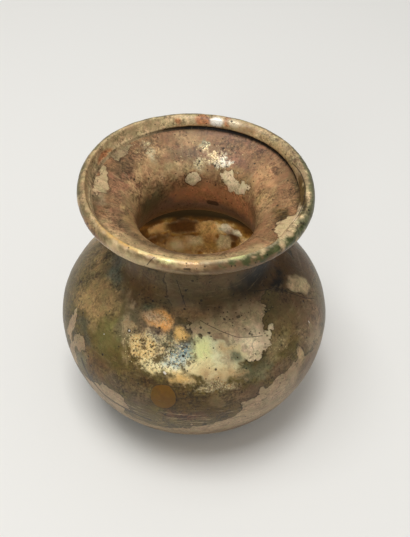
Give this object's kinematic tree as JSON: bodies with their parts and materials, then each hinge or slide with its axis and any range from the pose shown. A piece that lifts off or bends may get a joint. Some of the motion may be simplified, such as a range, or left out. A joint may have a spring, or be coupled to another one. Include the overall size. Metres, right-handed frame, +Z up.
{
  "type": "glass vase",
  "caption": "Small ancient blown-glass vase with a squat ball body, a short pinched neck and a wide funnel mouth with an inward-folded rim, weathered and iridescent.",
  "frame": {"origin": "middle of the foot ring, on the surface that the vase stands on", "axes": "+Z up along the axis that the vase was turned about; -Y is the side seen nearest in the picture, X to its right"},
  "size_m": [0.07, 0.07, 0.0677],
  "materials": {
    "weathered_glass": "honey-coloured glass under a buff, olive and mauve weathering crust with iridescent flakes, opaque nearly all over"
  },
  "bodies": {
    "root": {"vase": "weathered_glass"}
  },
  "joints": []
}
